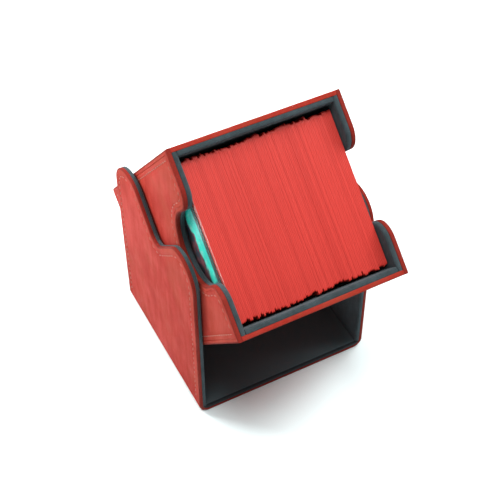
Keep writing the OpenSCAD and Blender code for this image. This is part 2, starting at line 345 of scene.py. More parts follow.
@dataclass(frozen=True)
class Finish:
    """What all finishes share: a Principled shader with coordinates and a bump."""

    effects: Effects
    name: str = "finish"

    def build(self) -> bpy.types.Material:
        """Makes the material.

        Returns:
            The material.
        """
        material = bpy.data.materials.new(self.name)
        material.use_nodes = True
        graph = Graph(material.node_tree)
        self.wire(graph, graph.add("TexCoord").outputs["Object"])
        return material

    def wire(self, graph: Graph, place: Socket) -> None:
        """Wires the shader, in each finish's own way.

        Args:
            graph: The material's graph.
            place: Its Object coordinates.
        """
        raise NotImplementedError

    @staticmethod
    def close(graph: Graph, height: object, distance: float, strength: float, inputs: dict) -> None:
        """Adds the bump, the shader and the output.

        Args:
            graph: The material's graph.
            height: The bump's height, 0 to 1.
            distance: How far that height stands, in metres.
            strength: How strongly it shows.
            inputs: The shader's own inputs.
        """
        bump = graph.add("Bump", {"Height": height, "Distance": distance, "Strength": strength})
        shader = graph.add("BsdfPrincipled", {**inputs, "Normal": bump.outputs[0]})
        graph.add("OutputMaterial", {"Surface": shader.outputs[0]})

    @staticmethod
    def attribute(graph: Graph, name: str) -> Socket:
        """The value that a mesh attribute holds."""
        return graph.add("Attribute", attribute_name=name).outputs["Fac"]

    @staticmethod
    def effect(graph: Graph, tree: bpy.types.NodeTree, inputs: dict) -> bpy.types.bpy_prop_collection:
        """Places a shared effect in a material.

        Args:
            graph: The material's graph.
            tree: The node group.
            inputs: What its inputs take.

        Returns:
            The group node's outputs.
        """
        return graph.add("Group", inputs, node_tree=tree).outputs

    @staticmethod
    def upright(graph: Graph, place: Socket) -> Socket:
        """The coordinates turned back by the tray's lean, so that Z runs up the cards."""
        return graph.add("Mapping", {"Vector": place, "Rotation": (-LEAN, 0.0, 0.0)}).outputs[0]


@dataclass(frozen=True)
class Suede(Finish):
    """Red suede-effect leatherette: brushed patches, painted shade along its turned edges and rubbed spots.
    """

    name: str = "red_suede"
    deep: Colour = (0.30, 0.015, 0.007)
    brushed: Colour = (0.46, 0.033, 0.021)
    rubbed: Colour = (0.33, 0.052, 0.022)
    # Painted shade for the turned edges, where the rim lies in shade
    folded: Colour = (0.14, 0.010, 0.006)
    tan: float = 0.35
    worn: float = 0.5
    # How strongly the painted rim shade shows
    fold: float = 0.85
    bristle: float = 0.16
    # How far in from an edge wear reaches, in millimetres
    reach: float = 3.2
    cloud_scale: float = 34.0
    roughness: float = 0.8
    variation: float = 0.08
    sheen: float = 0.012
    sheen_tint: Colour = (1.0, 0.62, 0.56)
    pile: float = 0.12 * MM

    def wire(self, graph: Graph, place: Socket) -> None:
        """Wires the shader.

        Args:
            graph: The material's graph.
            place: Its Object coordinates.
        """
        inset = self.attribute(graph, "inset")
        nap = self.effect(graph, self.effects.nap, {"Vector": place})
        edge = self.effect(graph, self.effects.edge, {"Vector": place, "Inset": inset, "Reach": self.reach})
        tone = graph.weigh((nap["Streaks"], 0.45), (nap["Patches"], 0.55))
        tint = graph.mix(tone, self.deep, self.brushed)
        clouds = graph.ramp(graph.noise(place, self.cloud_scale, 4.0, 0.6), 0.46, 0.66, 0.0, self.tan)
        tint = graph.mix(clouds, tint, self.rubbed)
        tint = graph.mix(graph.math("MULTIPLY", edge["Wear"], self.worn), tint, self.rubbed)
        # Painted shade darkens the turned edge, strongest at the outline
        tint = graph.mix(graph.math("MULTIPLY", edge["Fold"], self.fold), tint, self.folded)
        tint = graph.mix(graph.ramp(nap["Fibres"], 0.0, 1.0, 0.0, self.bristle), tint, self.brushed)
        surface = {
            "Base Color": tint,
            "Roughness": graph.ramp(
                tone, 0.0, 1.0, self.roughness + self.variation, self.roughness - self.variation
            ),
            "Specular IOR Level": 0.15,
            "Sheen Weight": self.sheen,
            "Sheen Roughness": 0.45,
            "Sheen Tint": rgba(self.sheen_tint),
        }
        height = graph.weigh((nap["Fibres"], 0.7), (nap["Streaks"], 0.5))
        self.close(graph, height, self.pile, 0.6, surface)


@dataclass(frozen=True)
class Microfibre(Finish):
    """Soft blue-grey lining with a short pile."""

    name: str = "grey_microfibre"
    deep: Colour = (0.023, 0.033, 0.036)
    brushed: Colour = (0.044, 0.062, 0.070)
    # The cover's floor is painted a lighter shade, painted light that lifts it where it lies in shade, and a
    # band of painted shade darkens its two open edges
    raised: Colour = (0.060, 0.098, 0.108)
    # Painted shade for the floor's two open edges
    flattened: Colour = (0.006, 0.007, 0.008)
    floor_height: float = 3.8 * MM
    floor_end: float = 38.2 * MM
    roughness: float = 0.84
    roughest: float = 0.98
    sheen: float = 0.12
    sheen_tint: Colour = (0.75, 0.9, 1.0)
    pile: float = 0.15 * MM

    def wire(self, graph: Graph, place: Socket) -> None:
        """Wires the shader.

        Args:
            graph: The material's graph.
            place: Its Object coordinates.
        """
        scales = {"Patch Scale": 90.0, "Streak Scale": 420.0, "Fibre Scale": 3600.0}
        nap = self.effect(graph, self.effects.nap, {"Vector": place, **scales})
        tone = graph.weigh((nap["Fibres"], 0.25), (nap["Streaks"], 0.35), (nap["Patches"], 0.4))
        axes = graph.axes(place)
        below = graph.ramp(axes["Z"], self.floor_height, self.floor_height + 0.3 * MM, 1.0, 0.0)
        from_middle = graph.math("ABSOLUTE", axes["Y"])
        at_end = graph.ramp(from_middle, self.floor_end, self.floor_end + 0.6 * MM)
        # Painted light: the floor is lifted to a lighter colour than the walls
        tint = graph.mix(below, graph.mix(tone, self.deep, self.brushed), self.raised)
        # Painted shade darkens the floor's two open edges
        surface = {
            "Base Color": graph.mix(graph.math("MULTIPLY", below, at_end), tint, self.flattened),
            "Roughness": graph.ramp(tone, 0.0, 1.0, self.roughest, self.roughness),
            "Specular IOR Level": 0.2,
            "Sheen Weight": self.sheen,
            "Sheen Roughness": 0.5,
            "Sheen Tint": rgba(self.sheen_tint),
        }
        height = graph.weigh((nap["Fibres"], 0.8), (nap["Streaks"], 0.3))
        self.close(graph, height, self.pile, 0.7, surface)


@dataclass(frozen=True)
class Greyboard(Finish):
    """Pressed grey board with flecks, inside every wall."""

    name: str = "greyboard"
    pulp: Colour = (0.33, 0.31, 0.28)
    fleck: Colour = (0.17, 0.16, 0.15)

    def wire(self, graph: Graph, place: Socket) -> None:
        """Wires the shader.

        Args:
            graph: The material's graph.
            place: Its Object coordinates.
        """
        grain = self.effect(graph, self.effects.grain, {"Vector": place, "Scale": 1800.0})
        tint = graph.mix(grain["Specks"], self.pulp, self.fleck)
        rough = graph.ramp(grain["Grain"], 0.0, 1.0, 0.95, 0.8)
        self.close(graph, grain["Grain"], 0.08 * MM, 0.5, {"Base Color": tint, "Roughness": rough})


@dataclass(frozen=True)
class Thread(Finish):
    """Pale pink-brown sewing thread with a fine twist."""

    name: str = "sewing_thread"
    strand: Colour = (0.42, 0.13, 0.08)
    shade: Colour = (0.30, 0.065, 0.038)

    def wire(self, graph: Graph, place: Socket) -> None:
        """Wires the shader.

        Args:
            graph: The material's graph.
            place: Its Object coordinates.
        """
        grain = self.effect(graph, self.effects.grain, {"Vector": place, "Scale": 5200.0})
        waves = graph.add(
            "TexWave",
            {"Vector": place, "Scale": 1400.0, "Distortion": 1.5},
            bands_direction="DIAGONAL",
        ).outputs["Fac"]
        tint = graph.mix(waves, self.shade, self.strand)
        rough = graph.ramp(grain["Grain"], 0.0, 1.0, 0.75, 0.5)
        surface = {"Base Color": tint, "Roughness": rough, "Sheen Weight": 0.2}
        self.close(graph, waves, 0.06 * MM, 0.6, surface)


@dataclass(frozen=True)
class SleeveFilm(Finish):
    """Matt red film, a little different from one sleeve to the next."""

    name: str = "red_sleeve_film"
    deep: Colour = (0.47, 0.025, 0.017)
    bright: Colour = (0.57, 0.037, 0.026)
    roughness: float = 0.42

    def wire(self, graph: Graph, place: Socket) -> None:
        """Wires the shader.

        Args:
            graph: The material's graph.
            place: Its Object coordinates.
        """
        grain = self.effect(graph, self.effects.grain, {"Vector": place, "Scale": 4200.0})
        tone = self.attribute(graph, "tone")
        mixed = graph.weigh((grain["Grain"], 0.25), (tone, 0.8))
        tint = graph.mix(mixed, self.deep, self.bright)
        rough = graph.ramp(grain["Grain"], 0.3, 0.7, self.roughness + 0.08, self.roughness - 0.06)
        surface = {"Base Color": tint, "Roughness": rough, "Specular IOR Level": 0.4}
        self.close(graph, grain["Grain"], 0.03 * MM, 0.35, surface)


@dataclass(frozen=True)
class ClearFilm(Finish):
    """The clear front leaf of a sleeve: a milky sheen over what lies behind it, and a painted glint along its
    top edge.
    """

    name: str = "clear_sleeve_film"
    haze: Colour = (0.36, 0.52, 0.48)
    # A painted glint along the leaf's top edge, paler and less clear
    lip: Colour = (0.85, 0.66, 0.62)
    cover: float = 0.05
    lip_cover: float = 0.6
    lip_height: float = 104.6 * MM
    roughness: float = 0.2

    def wire(self, graph: Graph, place: Socket) -> None:
        """Wires the shader.

        Args:
            graph: The material's graph.
            place: Its Object coordinates.
        """
        grain = self.effect(graph, self.effects.grain, {"Vector": place, "Scale": 900.0})
        rough = graph.ramp(grain["Grain"], 0.3, 0.7, self.roughness + 0.08, self.roughness - 0.05)
        height = graph.axes(self.upright(graph, place))["Z"]
        # Painted glint along the leaf's top edge
        lip = graph.ramp(height, self.lip_height, self.lip_height + 0.3 * MM)
        tint = graph.mix(lip, self.haze, self.lip)
        alpha = graph.ramp(lip, 0.0, 1.0, self.cover, self.lip_cover)
        surface = {"Base Color": tint, "Roughness": rough, "Alpha": alpha, "Specular IOR Level": 0.3}
        self.close(graph, grain["Grain"], 0.04 * MM, 0.3, surface)


@dataclass(frozen=True)
class CardStock(Finish):
    """A trading card with made-up cloudy art: a teal sky over purple ground."""

    name: str = "printed_card"
    sky: Colour = (0.020, 0.94, 0.74)
    deep_sky: Colour = (0.010, 0.44, 0.42)
    glint: Colour = (0.45, 0.90, 0.84)
    ground: Colour = (0.30, 0.050, 0.085)
    night: Colour = (0.012, 0.012, 0.045)
    frame_line: Colour = (0.030, 0.052, 0.048)
    border: float = 97.8 * MM
    border_blur: float = 0.2 * MM
    horizon: float = 89.2 * MM
    horizon_blur: float = 0.6 * MM
    slope: float = 0.16
    shore: float = 25.0 * MM
    shore_blur: float = 1.0 * MM
    middle: float = 40.0 * MM

    def wire(self, graph: Graph, place: Socket) -> None:
        """Wires the shader.

        Args:
            graph: The material's graph.
            place: Its Object coordinates.
        """
        upright = self.upright(graph, place)
        axes = graph.axes(upright)
        cloud = graph.math("SUBTRACT", graph.noise(upright, 150.0, 3.0, 0.5), 0.5)
        leaning = graph.math("MULTIPLY", graph.math("SUBTRACT", axes["Y"], self.middle), self.slope)
        height = graph.math("ADD", graph.math("MULTIPLY_ADD", cloud, 10 * MM, axes["Z"]), leaning)
        sky = graph.ramp(height, self.horizon - self.horizon_blur, self.horizon + self.horizon_blur)
        streak = graph.ramp(graph.noise(upright, 380.0, 3.0, 0.5), 0.54, 0.64)
        depth = graph.ramp(height, self.horizon + 2 * MM, self.horizon + 7 * MM)
        above = graph.mix(graph.math("MULTIPLY", streak, 0.6), self.sky, self.glint)
        above = graph.mix(graph.math("MULTIPLY", depth, 0.55), above, self.deep_sky)
        dusk = graph.ramp(graph.noise(upright, 230.0, 3.0, 0.6), 0.42, 0.6)
        art = graph.mix(sky, graph.mix(dusk, self.ground, self.night), above)
        front = graph.math("MULTIPLY_ADD", cloud, 12 * MM, axes["Y"])
        dark = graph.ramp(front, self.shore - self.shore_blur, self.shore + self.shore_blur, 0.85, 0.0)
        edge = graph.ramp(axes["Z"], self.border - self.border_blur, self.border + self.border_blur)
        tint = graph.mix(edge, graph.mix(dark, art, self.night), self.frame_line)
        grain = self.effect(graph, self.effects.grain, {"Vector": place, "Scale": 5000.0})
        rough = graph.ramp(grain["Grain"], 0.3, 0.7, 0.45, 0.3)
        self.close(graph, grain["Grain"], 0.02 * MM, 0.3, {"Base Color": tint, "Roughness": rough})


@dataclass(frozen=True)
class Backdrop(Finish):
    """Plain pale floor."""

    name: str = "pale_floor"
    colour: Colour = (0.83, 0.97, 0.975)

    def wire(self, graph: Graph, place: Socket) -> None:
        """Wires the shader.

        Args:
            graph: The material's graph.
            place: Its Object coordinates.
        """
        grain = self.effect(graph, self.effects.grain, {"Vector": place, "Scale": 300.0})
        surface = {"Base Color": rgba(self.colour), "Roughness": 0.9, "Specular IOR Level": 0.0}
        self.close(graph, grain["Grain"], 0.02 * MM, 0.1, surface)


class Finishes:
    """Every material, made once."""

    def __init__(self) -> None:
        """Builds the shared effects and then the materials."""
        effects = Effects()
        self.suede = Suede(effects).build()
        self.lining = Microfibre(effects).build()
        self.greyboard = Greyboard(effects).build()
        self.thread = Thread(effects).build()
        self.sleeve = SleeveFilm(effects).build()
        self.clear = ClearFilm(effects).build()
        self.card = CardStock(effects).build()
        self.floor = Backdrop(effects).build()

    def cloth(self, layer: Layer) -> bpy.types.Material:
        """The material of a panel's layer."""
        return self.suede if layer is Layer.SKIN else self.lining


# ---- Working on a mesh ----


def joined(copies: list[bpy.types.Object]) -> bpy.types.Object:
    """Joins objects into the first of them.

    Args:
        copies: The objects.

    Returns:
        The first, which now holds every mesh.
    """
    bpy.ops.object.select_all(action="DESELECT")
    for copy in copies:
        copy.select_set(True)
    bpy.context.view_layer.objects.active = copies[0]
    bpy.ops.object.join()
    return copies[0]


class Work:
    """One new object on the bench, shaped in edit mode by operators."""

    def __init__(self, obj: bpy.types.Object, place: Matrix | None = None) -> None:
        """Takes an object onto the bench.

        Args:
            obj: The object.
            place: Where its own upright frame stands, if that isn't the box's frame.
        """
        self.obj = obj
        self.place = place or Matrix.Identity(4)

    @classmethod
    def copy_of(cls, name: str, nodes: Iterable[str], place: Matrix | None = None) -> "Work":
        """Copies CAD nodes into one new mesh with whole faces.

        Args:
            name: The new piece's name.
            nodes: The CAD nodes.
            place: Their own upright frame; the copy is worked on in it.

        Returns:
            The copy on the bench.
        """
        parts = [bpy.data.objects.new(name, frame["nodes"][n].data.copy()) for n in nodes]
        for part in parts:
            bpy.context.collection.objects.link(part)
        work = cls(joined(parts), place)
        work.obj.data.materials.clear()
        work.obj.data.transform(work.place.inverted())
        work.open()
        bpy.ops.mesh.customdata_custom_splitnormals_clear()
        work.make_whole()
        return work

    @staticmethod
    def make_whole() -> None:
        """Welds points that coincide and merges faces that lie in one plane."""
        bpy.ops.mesh.select_all(action="SELECT")
        bpy.ops.mesh.remove_doubles(threshold=WELD)
        bpy.ops.mesh.dissolve_limited(angle_limit=LEVEL_ANGLE)

    @property
    def mesh(self) -> bmesh.types.BMesh:
        """The mesh as it stands in edit mode, for picking faces and edges."""
        bm = bmesh.from_edit_mesh(self.obj.data)
        bm.normal_update()
        return bm

    def open(self) -> None:
        """Enters edit mode with only this object selected."""
        if bpy.context.object and bpy.context.object.mode != "OBJECT":
            bpy.ops.object.mode_set(mode="OBJECT")
        bpy.ops.object.select_all(action="DESELECT")
        self.obj.select_set(True)
        bpy.context.view_layer.objects.active = self.obj
        bpy.ops.object.mode_set(mode="EDIT")

    def finish(self, finishes: Finishes, body: Body, layer: Layer, *nodes: str) -> None:
        """Smooths the round parts, puts the mesh in its place and ties the piece to its nodes.

        Args:
            finishes: The materials.
            body: The body that it rides on.
            layer: The panel layer that it is.
            nodes: The CAD nodes that it replaces.
        """
        bpy.ops.object.mode_set(mode="OBJECT")
        bpy.ops.object.shade_smooth_by_angle(angle=SHARP)
        self.obj.data.transform(self.place)
        self.obj.data.update()
        self.obj.data.materials.append(finishes.cloth(layer))
        stand_for(self.obj, body, layer.slot, *nodes)

    def pick_faces(self, test: FaceTest) -> bool:
        """Selects the faces whose middle and normal pass a test.

        Args:
            test: Takes a face's middle and its normal.

        Returns:
            Whether there are any.
        """
        bpy.ops.mesh.select_mode(type="FACE")
        bm = self.mesh
        for face in bm.faces:
            face.select_set(False)
        chosen = [f for f in bm.faces if test(f.calc_center_median(), f.normal)]
        for face in chosen:
            face.select_set(True)
        bmesh.update_edit_mesh(self.obj.data)
        return bool(chosen)

    def pick_edges(self, chosen: Callable[[bmesh.types.BMesh], Edges]) -> bool:
        """Selects edges.

        Args:
            chosen: Lists them, given the mesh.

        Returns:
            Whether there are any.
        """
        bpy.ops.mesh.select_mode(type="EDGE")
        bm = self.mesh
        for edge in bm.edges:
            edge.select_set(False)
        for face in bm.faces:
            face.select_set(False)
        edges = chosen(bm)
        for edge in edges:
            edge.select_set(True)
        bmesh.update_edit_mesh(self.obj.data)
        return bool(edges)

    @staticmethod
    def border(bm: bmesh.types.BMesh, outer: FaceTest) -> tuple[Edges, Edges]:
        """Finds a sheet's outline and the far edge of the rim that runs along it.

        Args:
            bm: The mesh.
            outer: Which faces make up the sheet.

        Returns:
            The outline's edges, and the edges across the rim from it.
        """
        sheet = {f for f in bm.faces if outer(f.calc_center_median(), f.normal)}
        outline = [e for e in bm.edges if len({f in sheet for f in e.link_faces}) == 2]
        rim = {f for e in outline for f in e.link_faces} - sheet
        far = [e for e in bm.edges if len([f for f in e.link_faces if f in rim]) == 1]
        return outline, [e for e in far if not any(f in sheet for f in e.link_faces)]

    def round_edges(
        self, outer: FaceTest, width: float, segments: int, near: bool, keep: EdgeTest
    ) -> None:
        """Rounds a sheet's outline, or the far edge of its rim.

        Args:
            outer: Which faces make up the sheet.
            width: How far the rounding reaches.
            segments: Its steps.
            near: True for the outline, False for the rim's far edge.
            keep: Which of those edges are rounded, by their middle.
        """
        def wanted(bm: bmesh.types.BMesh) -> Edges:
            """The edges to round."""
            edges = self.border(bm, outer)[0 if near else 1]
            return [e for e in edges if keep((e.verts[0].co + e.verts[1].co) / 2)]

        if self.pick_edges(wanted):
            bpy.ops.mesh.bevel(offset=width, segments=segments, affect="EDGES", clamp_overlap=False)

    def steps_in(
        self, outer: FaceTest, steps: Iterable[tuple[float, float]], corners: Iterable[Vector] = ()
    ) -> None:
        """Insets a sheet step by step and notes on it how far in each step lies.

        Args:
            outer: Which faces make up the sheet.
            steps: Each step's width and how far it rises, negative for down, in millimetres.
            corners: Where small round corners come to a point after the first step.
        """
        self.pick_faces(outer)
        total = 0.0
        pending = list(corners)
        for width, rise in steps:
            bpy.ops.mesh.inset(thickness=width * MM, depth=rise * MM, use_even_offset=True, use_boundary=True)
            total += width
            bm = bmesh.from_edit_mesh(self.obj.data)
            layer = bm.verts.layers.float.get("inset") or bm.verts.layers.float.new("inset")
            for vert in bm.verts:
                if vert.select:
                    vert[layer] = total
            bmesh.update_edit_mesh(self.obj.data)
            while pending:
                self.draw_together(pending.pop(), total)
            self.pick_inner(total)

    def note_inset(self, least: float) -> None:
        """Notes that every point lies at least so far in, so its edge takes no painted shade.

        Args:
            least: That distance, in millimetres.
        """
        bm = bmesh.from_edit_mesh(self.obj.data)
        layer = bm.verts.layers.float["inset"]
        for vert in bm.verts:
            vert[layer] = max(vert[layer], least)
        bmesh.update_edit_mesh(self.obj.data)

    def pick_inner(self, total: float) -> None:
        """Selects the faces that lie at least so far in from the sheet's outline.

        Args:
            total: That distance, in millimetres.
        """
        bpy.ops.mesh.select_mode(type="FACE")
        bm = bmesh.from_edit_mesh(self.obj.data)
        layer = bm.verts.layers.float["inset"]
        for face in bm.faces:
            face.select_set(False)
        for face in bm.faces:
            if all(v[layer] > total - INSET_SLACK for v in face.verts):
                face.select_set(True)
        bmesh.update_edit_mesh(self.obj.data)

    def draw_together(self, corner: Vector, total: float) -> None:
        """Draws the points of a small round corner together into one.

        Args:
            corner: Where that point is.
            total: How far in from the outline the corner's points lie, in millimetres.
        """
        bpy.ops.mesh.select_mode(type="VERT")
        bm = bmesh.from_edit_mesh(self.obj.data)
        layer = bm.verts.layers.float["inset"]
        for vert in bm.verts:
            vert.select_set(vert[layer] > total - INSET_SLACK and (vert.co - corner).length < 0.6 * MM)
        bm.select_flush_mode()
        bmesh.update_edit_mesh(self.obj.data)
        bpy.ops.mesh.merge(type="CENTER")


def islands(node: str) -> list[np.ndarray]:
    """Splits a CAD node into its separate solids.

    Args:
        node: The CAD node.

    Returns:
        The corners of each solid, an array of points each.
    """
    mesh = frame["nodes"][node].data
    points = np.zeros(len(mesh.vertices) * 3, np.float64)
    mesh.vertices.foreach_get("co", points)
    points = points.reshape(-1, 3)
    whole, back = np.unique(np.round(points, 7), axis=0, return_inverse=True)
    back = back.ravel()
    label = np.arange(len(whole))
    corners = np.array([[back[v] for v in p.vertices] for p in mesh.polygons])
    changed = True
    while changed:
        lowest = label[corners].min(axis=1)
        before = label.copy()
        for column in range(corners.shape[1]):
            np.minimum.at(label, corners[:, column], lowest)
        label = label[label]
        changed = bool((label != before).any())
    return [whole[label == mark] for mark in np.unique(label)]


def everywhere(_: Vector) -> bool:
    """Keeps every edge."""
    return True


def stand_for(obj: bpy.types.Object, body: Body, slot: str, *nodes: str) -> None:
    """Ties a finished piece to its body and hides the CAD nodes that it stands for.

    Args:
        obj: The piece.
        body: The body that it rides on.
        slot: Not used.
        nodes: The CAD nodes that it replaces.
    """
    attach(obj, body.value)
    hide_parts(*nodes)
    LOG.info("%s: %d faces", obj.name, len(obj.data.polygons))


def boards(body: Body) -> list[str]:
    """The CAD nodes that are boards inside one body's walls."""
    return [n for n in frame["nodes"] if n.startswith(f"{body.value}_") and n.endswith("board")]


def dress(nodes: Iterable[str], material: bpy.types.Material) -> None:
    """Gives CAD nodes that stay a better material.

    Args:
        nodes: The CAD nodes.
        material: Their material.
    """
    for node in nodes:
        obj = frame["nodes"][node]
        obj.data.materials.clear()
        obj.data.materials.append(material)


@dataclass
class Stitching:
    """A row of curved stitches, one for each flat stitch of a CAD node."""

    length: float = 2.3 * MM
    radius: float = 0.19 * MM
    sides: int = 8
    bends: int = 6
    # How far its ends dive, in radii, how much thinner they are, and how deep it is sunk, in radii
    dive: float = 1.5
    thinning: float = 0.45
    sunk: float = 0.15
    # How far a stitch may turn out of line, in degrees
    sway: float = 7.0

    def pattern(self) -> bpy.types.Object:
        """Models one stitch: a thread along x that rises in an arc and dives at both ends.

        Returns:
            The stitch, at the origin.
        """
        bpy.ops.object.select_all(action="DESELECT")
        bpy.ops.mesh.primitive_cylinder_add(
            vertices=self.sides, radius=self.radius, depth=self.length, rotation=(0, math.pi / 2, 0)
        )
        stitch = bpy.context.object
        bpy.ops.object.transform_apply(location=True, rotation=True, scale=True)
        bpy.ops.object.mode_set(mode="EDIT")
        half = self.length / 2
        for cut in range(1, self.bends):
            bpy.ops.mesh.select_all(action="SELECT")
            x = -half + self.length * cut / self.bends
            bpy.ops.mesh.bisect(plane_co=(x, 0, 0), plane_no=(1, 0, 0))
        bm = bmesh.from_edit_mesh(stitch.data)
        places = sorted({round(v.co.x, 7) for v in bm.verts})
        for x in places:
            for vert in bm.verts:
                vert.select_set(abs(vert.co.x - x) < TOUCH)
            bm.select_flush_mode()
            bmesh.update_edit_mesh(stitch.data)
            share = abs(x) / half
            drop = -self.radius * self.dive * share**3
            thin = 1.0 - self.thinning * share**4
            bpy.ops.transform.resize(value=(1, thin, thin), center_override=(x, 0, 0))
            bpy.ops.transform.translate(value=(0, 0, drop))
        bpy.ops.object.mode_set(mode="OBJECT")
        bpy.ops.object.shade_smooth()
        return stitch

    def sew(self, body: Body, side: Side, finishes: Finishes) -> None:
        """Copies the stitch to every place of a side wall's row and joins the copies.

        Args:
            body: The body that the wall belongs to.
            side: The wall.
            finishes: The materials.
        """
        name = f"{body.value}_{side.word}_stitches"
        node = f"{body.value}_{side.word}_stitching"
        up = Vector((side.value, 0, 0))
        rng = random.Random(len(name))
        pattern = self.pattern()
        row = []
        for corners in islands(node):
            middle = corners.mean(axis=0)
            spread = corners - middle
            along = Vector(np.linalg.svd(spread, full_matrices=False)[2][0])
            along = (along - up * along.dot(up)).normalized()
            across = up.cross(along)
            turn = Matrix((along, across, up)).transposed().to_4x4()
            sway = Matrix.Rotation(math.radians(rng.uniform(-self.sway, self.sway)), 4, "Z")
            low = min(spread @ np.array(up))
            foot = Vector(middle) + up * low
            copy = bpy.data.objects.new(name, pattern.data.copy())
            copy.data.transform(Matrix.Translation(foot + up * self.radius * self.sunk) @ turn @ sway)
            bpy.context.collection.objects.link(copy)
            row.append(copy)
        piece = joined(row)
        bpy.data.objects.remove(pattern)
        piece.data.materials.append(finishes.thread)
        stand_for(piece, body, "thread", node)


# ---- The cover ----


@dataclass
class Cover:
    """The U-shaped cover: a suede wrap outside and a microfibre wrap inside."""

    finishes: Finishes
    half_width: float = 42.0 * MM
    edge_radius: float = 4.5 * MM
    wall: float = 3.2 * MM
    base: float = 3.8 * MM
    outer_rounding: float = 0.45 * MM
    seam_rounding: float = 0.3 * MM
    lining_rounding: float = 0.85 * MM
    corner_softness: float = 1.0 * MM
    # A face that looks more than this towards the open ends isn't part of the wrap
    end_on: float = 0.02
    sewing: Stitching = field(default_factory=Stitching)

    def outside(self, middle: Vector, normal: Vector) -> bool:
        """Whether a face lies on the outside of the wrap.

        Args:
            middle: The face's middle.
            normal: Its normal.

        Returns:
            True for the walls, the underside and the two long round edges.
        """
        if abs(normal.y) > self.end_on:
            return False
        if abs(middle.x) > self.half_width - LEVEL or middle.z < LEVEL:
            return True
        hub = Vector((math.copysign(self.half_width - self.edge_radius, middle.x), self.edge_radius))
        away = Vector((middle.x, middle.z)) - hub
        on_arc = abs(away.length - self.edge_radius) < SAG
        return on_arc and away.normalized().dot(Vector((normal.x, normal.z))) > 0.9

    def inside(self, middle: Vector, normal: Vector) -> bool:
        """Whether a face lies on the inside of the lining.

        Args:
            middle: The face's middle.
            normal: Its normal.

        Returns:
            True for the two inner walls and the floor.
        """
        inner = self.half_width - self.wall
        on_wall = abs(abs(middle.x) - inner) < LEVEL and normal.x * middle.x < 0 and abs(normal.x) > FLAT
        on_floor = abs(middle.z - self.base) < LEVEL and normal.z > FLAT
        return on_wall or on_floor

    def begin(self, layer: Layer) -> tuple[Work, list[str]]:
        """Copies one layer of the cover's three panels and makes one wrap of it.

        Args:
            layer: The layer.

        Returns:
            The wrap on the bench, and the CAD nodes that it replaces.
        """
        nodes = [f"cover_{panel}_{layer.word}" for panel in ("left", "base", "right")]
        work = Work.copy_of(f"cover_{layer.slot}", nodes)
        height = self.edge_radius
        if work.pick_faces(lambda m, n: abs(m.z - height) < 0.01 * MM and abs(n.z) > 0.99):
            bpy.ops.mesh.delete(type="FACE")
        work.make_whole()
        return work, nodes

    def wrap(self) -> None:
        """Makes the suede wrap, with rounded edges and a pressed line for the stitches."""
        work, nodes = self.begin(Layer.SKIN)
        work.round_edges(self.outside, self.seam_rounding, 2, False, everywhere)
        work.round_edges(self.outside, self.outer_rounding, 3, True, everywhere)
        work.steps_in(self.outside, ((1.2, 0), (2.0, 0), (0.35, -0.12), (0.35, 0.12), (2.0, 0)))
        work.finish(self.finishes, Body.COVER, Layer.SKIN, *nodes)

    def lining(self) -> None:
        """Makes the inner wrap, with soft rims and soft inner corners."""
        work, nodes = self.begin(Layer.LINING)
        work.round_edges(self.inside, self.seam_rounding, 2, False, everywhere)
        work.round_edges(self.inside, self.lining_rounding, 4, True, everywhere)
        work.steps_in(self.inside, ((0.5, 0),))
        inner = self.half_width - self.wall
        slack = 0.02 * MM

        def in_crease(at: Vector) -> bool:
            """Whether a point is where the floor meets a wall."""
            return abs(abs(at.x) - inner) < slack and abs(at.z - self.base) < slack

        def creases(bm: bmesh.types.BMesh) -> Edges:
            """The two long creases along the floor."""
            along = [e for e in bm.edges if all(in_crease(v.co) for v in e.verts)]
            return [e for e in along if abs(e.verts[0].co.y - e.verts[1].co.y) > 10 * MM]

        if work.pick_edges(creases):
            bpy.ops.mesh.bevel(
                offset=self.corner_softness, segments=3, affect="EDGES", clamp_overlap=False
            )
        work.finish(self.finishes, Body.COVER, Layer.LINING, *nodes)

    def build(self) -> None:
        """Builds and dresses the whole cover."""
        self.wrap()
        self.lining()
        for side in Side:
            self.sewing.sew(Body.COVER, side, self.finishes)
        dress(boards(Body.COVER), self.finishes.greyboard)


# ---- The tray ----


